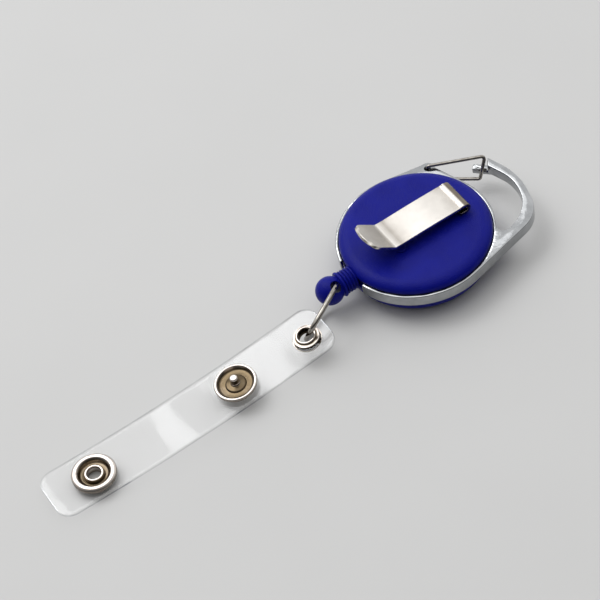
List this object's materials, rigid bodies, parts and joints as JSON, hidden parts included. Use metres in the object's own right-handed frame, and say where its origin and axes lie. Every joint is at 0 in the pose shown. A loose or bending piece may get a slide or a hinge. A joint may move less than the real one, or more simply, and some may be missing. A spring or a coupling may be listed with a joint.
{
  "type": "retractable badge reel",
  "caption": "Round retractable badge reel in a carabiner frame with a wire gate, belt clip on its back, and a clear snap strap hung from the cord's ball end by an oval ring.",
  "frame": {"origin": "centre of the front cover's flat outer face, on the spool's axis", "axes": "+Z along the spool's axis from the front cover to the belt clip, +Y from the spool's axis to the tip of the hook, the cord leaves towards -Y"},
  "size_m": [0.0374, 0.1316, 0.0174],
  "materials": {
    "chrome": "polished chrome plating on a zinc casting",
    "nickel": "bright nickel plating",
    "steel": "bright steel wire and strip",
    "blue_plastic": "deep blue moulded plastic, satin with a fine grain",
    "white_plastic": "natural white moulded plastic",
    "black_nylon": "black braided nylon cord",
    "clear_vinyl": "clear flexible vinyl sheet, glossy"
  },
  "bodies": {
    "housing": {"carabiner_frame": "chrome", "back_cover": "blue_plastic", "front_cover": "blue_plastic", "clip_base": "nickel", "clip_rivet": "nickel", "centre_post": "steel"},
    "gate": {"gate_wire": "steel"},
    "clip": {"clip_tongue": "nickel"},
    "spool": {"spool": "white_plastic", "wound_cord": "black_nylon", "power_spring": "steel"},
    "cord_end": {"cord_lead": "black_nylon"},
    "bead": {"cord_bead": "blue_plastic"},
    "ring": {"link_ring": "steel"},
    "strap": {"strap_tab": "clear_vinyl", "strap_eyelet": "nickel", "eyelet_washer": "nickel", "snap_stud": "nickel", "stud_rivet": "nickel"},
    "flap": {"strap_flap": "clear_vinyl", "snap_socket": "nickel", "socket_rivet": "nickel"}
  },
  "joints": [
    {"name": "gate_swing", "type": "hinge", "parent": "housing", "child": "gate", "pos_m": [-0.0146, 0.0135, 0.0065], "axis": [0, 0, 1], "range_deg": [-22, 0], "stiffness_Nm_per_rad": 0.03},
    {"name": "clip_flex", "type": "hinge", "parent": "housing", "child": "clip", "pos_m": [0, 0.01263, 0.01188], "axis": [-1, 0, 0], "range_deg": [0, 10], "stiffness_Nm_per_rad": 1},
    {"name": "cord_pull", "type": "slide", "parent": "housing", "child": "cord_end", "axis": [0, -1, 0], "range_m": [0, 0.6], "stiffness_N_per_m": 1.2, "springref_m": -0.42},
    {"name": "spool_spin", "type": "hinge", "parent": "housing", "child": "spool", "pos_m": [0, 0, 0.0065], "axis": [0, 0, 1], "range_deg": [0, 2870]},
    {"name": "bead_swivel", "type": "hinge", "parent": "cord_end", "child": "bead", "pos_m": [0, -0.0241, 0.0065], "axis": [0, 1, 0], "range_deg": [-90, 90]},
    {"name": "ring_swing", "type": "hinge", "parent": "bead", "child": "ring", "pos_m": [0.0006, -0.0235, 0.0065], "axis": [0.4224, 0.1188, 0.8986], "range_deg": [-30, 30]},
    {"name": "strap_swing", "type": "hinge", "parent": "ring", "child": "strap", "pos_m": [0.00665, -0.03475, 0.00514], "axis": [0.4224, 0.1188, 0.8986], "range_deg": [-30, 30]},
    {"name": "strap_fold", "type": "hinge", "parent": "strap", "child": "flap", "pos_m": [0.00621, -0.07313, 0.00311], "axis": [-0.9999, 0.0165, 0], "range_deg": [0, 174.7], "stiffness_Nm_per_rad": 0.0004}
  ],
  "couplings": [
    {"joint": "spool_spin", "follows": "cord_pull", "rad_per_m": 83}
  ]
}
